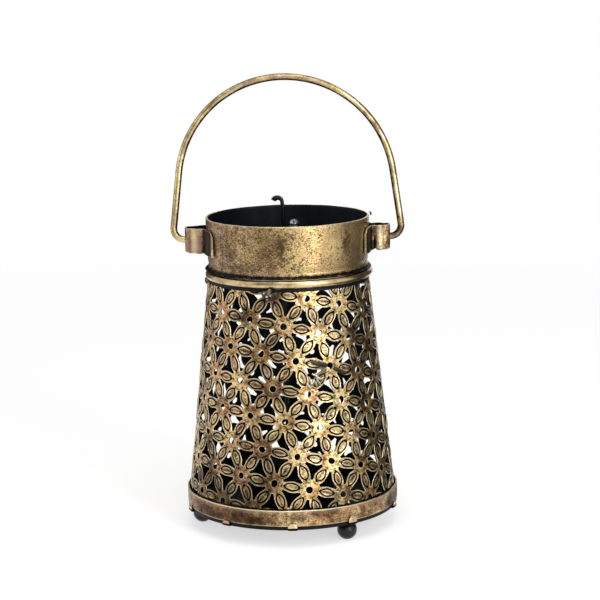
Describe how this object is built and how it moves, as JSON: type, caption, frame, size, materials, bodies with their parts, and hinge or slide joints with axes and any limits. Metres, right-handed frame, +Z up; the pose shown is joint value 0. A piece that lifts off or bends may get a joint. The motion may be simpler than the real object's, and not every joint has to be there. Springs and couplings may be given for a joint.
{
  "type": "tealight lantern",
  "caption": "Round pierced metal tealight lantern on ball feet, with a plain collar, a swinging wire handle and a lift-out candle cup on a hooked wire.",
  "frame": {"origin": "on the floor under the middle of the round base", "axes": "+Z up the lantern's axis; +X along the line through both ears; -Y is the side shown in the picture"},
  "size_m": [0.112, 0.104, 0.2177],
  "materials": {
    "antique_brass": "antique brass with brown speckled patina and bright worn edges outside, black paint inside",
    "wire_brass": "smooth antique brass wire with dark patina patches",
    "dark_brass": "dark coppery antique brass strap",
    "black_paint": "satin black paint",
    "black_gloss": "semi-gloss black paint"
  },
  "bodies": {
    "body": {"base_plate": "black_paint", "ball_foot_right": "black_gloss", "ball_foot_back": "black_gloss", "ball_foot_left": "black_gloss", "foot_screw_right": "black_paint", "foot_screw_back": "black_paint", "foot_screw_left": "black_paint", "rim_band": "antique_brass", "pierced_shade": "antique_brass", "neck_ring": "wire_brass", "collar": "antique_brass", "seam_screw": "black_gloss", "seam_nut": "black_paint", "ear_left": "dark_brass", "ear_right": "dark_brass"},
    "handle": {"handle": "wire_brass"},
    "cup": {"candle_cup": "black_paint", "lifting_wire": "black_paint"}
  },
  "joints": [
    {"name": "handle_swing", "type": "hinge", "parent": "body", "child": "handle", "pos_m": [0, 0, 0.1391], "axis": [1, 0, 0], "range_deg": [-142, 142]},
    {"name": "cup_lift", "type": "slide", "parent": "body", "child": "cup", "axis": [0, 0, 1], "range_m": [0, 0.15]}
  ]
}
